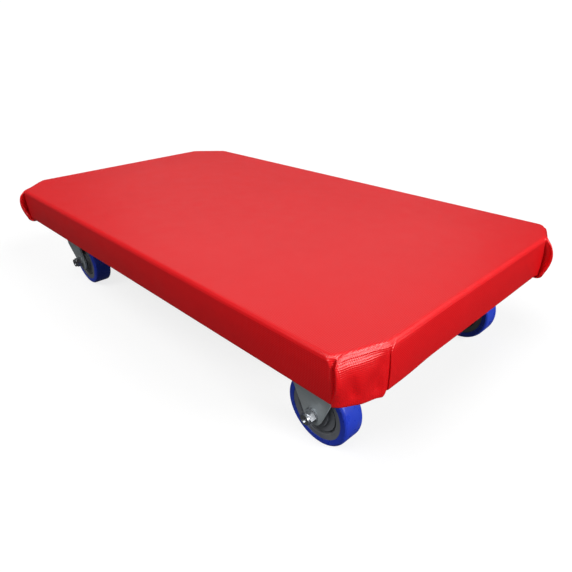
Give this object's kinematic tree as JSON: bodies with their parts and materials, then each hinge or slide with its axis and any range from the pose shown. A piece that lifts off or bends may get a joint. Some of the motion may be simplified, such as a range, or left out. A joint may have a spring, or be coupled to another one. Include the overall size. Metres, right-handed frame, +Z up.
{
  "type": "mechanics creeper",
  "caption": "Low padded board in red vinyl with cut corners, rolling on rigid front and swivel rear plate casters with blue wheels.",
  "frame": {"origin": "on the floor, under the middle of the board", "axes": "+X along the board to the end with the rigid casters, +Y to the left side, +Z up"},
  "size_m": [0.914, 0.483, 0.199],
  "materials": {
    "red_vinyl": "satin",
    "foam": "matte",
    "plywood": "matte",
    "pressed_steel": "satin",
    "zinc_steel": "satin",
    "yellow_zinc": "satin",
    "ball_steel": "polished",
    "bearing_steel": "satin",
    "blue_polyurethane": "satin",
    "grey_core": "satin"
  },
  "bodies": {
    "board": {"deck_panel": "plywood", "foam_pad": "foam", "vinyl_cover": "red_vinyl", "cover_staples": "zinc_steel", "caster_bolts": "zinc_steel", "bolt_washers": "zinc_steel", "tee_nuts": "yellow_zinc", "front_left_bracket": "pressed_steel", "front_left_axle_bolt": "zinc_steel", "front_left_axle_nut": "zinc_steel", "front_left_axle_sleeve": "zinc_steel", "front_left_axle_washers": "zinc_steel", "front_right_bracket": "pressed_steel", "front_right_axle_bolt": "zinc_steel", "front_right_axle_nut": "zinc_steel", "front_right_axle_sleeve": "zinc_steel", "front_right_axle_washers": "zinc_steel", "rear_left_top_plate": "pressed_steel", "rear_left_kingpin": "zinc_steel", "rear_left_lower_race": "zinc_steel", "rear_right_top_plate": "pressed_steel", "rear_right_kingpin": "zinc_steel", "rear_right_lower_race": "zinc_steel"},
    "front_left_wheel": {"front_left_tyre": "blue_polyurethane", "front_left_wheel_core": "grey_core", "front_left_bearings": "bearing_steel"},
    "front_right_wheel": {"front_right_tyre": "blue_polyurethane", "front_right_wheel_core": "grey_core", "front_right_bearings": "bearing_steel"},
    "rear_left_swivel": {"rear_left_upper_balls": "ball_steel", "rear_left_lower_balls": "ball_steel", "rear_left_fork": "pressed_steel", "rear_left_axle_bolt": "zinc_steel", "rear_left_axle_nut": "zinc_steel", "rear_left_axle_sleeve": "zinc_steel", "rear_left_axle_washers": "zinc_steel"},
    "rear_left_wheel": {"rear_left_tyre": "blue_polyurethane", "rear_left_wheel_core": "grey_core", "rear_left_bearings": "bearing_steel"},
    "rear_right_swivel": {"rear_right_upper_balls": "ball_steel", "rear_right_lower_balls": "ball_steel", "rear_right_fork": "pressed_steel", "rear_right_axle_bolt": "zinc_steel", "rear_right_axle_nut": "zinc_steel", "rear_right_axle_sleeve": "zinc_steel", "rear_right_axle_washers": "zinc_steel"},
    "rear_right_wheel": {"rear_right_tyre": "blue_polyurethane", "rear_right_wheel_core": "grey_core", "rear_right_bearings": "bearing_steel"}
  },
  "joints": [
    {"name": "front_left_wheel_spin", "type": "hinge", "parent": "board", "child": "front_left_wheel", "pos_m": [0.354, 0.171, 0.0508], "axis": [0, 1, 0], "continuous": true},
    {"name": "front_right_wheel_spin", "type": "hinge", "parent": "board", "child": "front_right_wheel", "pos_m": [0.354, -0.171, 0.0508], "axis": [0, 1, 0], "continuous": true},
    {"name": "rear_left_swivel_turn", "type": "hinge", "parent": "board", "child": "rear_left_swivel", "pos_m": [-0.362, 0.171, 0.142], "axis": [0, 0, 1], "continuous": true},
    {"name": "rear_left_wheel_spin", "type": "hinge", "parent": "rear_left_swivel", "child": "rear_left_wheel", "pos_m": [-0.33289, 0.16374, 0.0508], "axis": [0.2419, 0.9703, 0], "continuous": true},
    {"name": "rear_right_swivel_turn", "type": "hinge", "parent": "board", "child": "rear_right_swivel", "pos_m": [-0.362, -0.171, 0.142], "axis": [0, 0, 1], "continuous": true},
    {"name": "rear_right_wheel_spin", "type": "hinge", "parent": "rear_right_swivel", "child": "rear_right_wheel", "pos_m": [-0.332, -0.171, 0.0508], "axis": [0, 1, 0], "continuous": true}
  ]
}
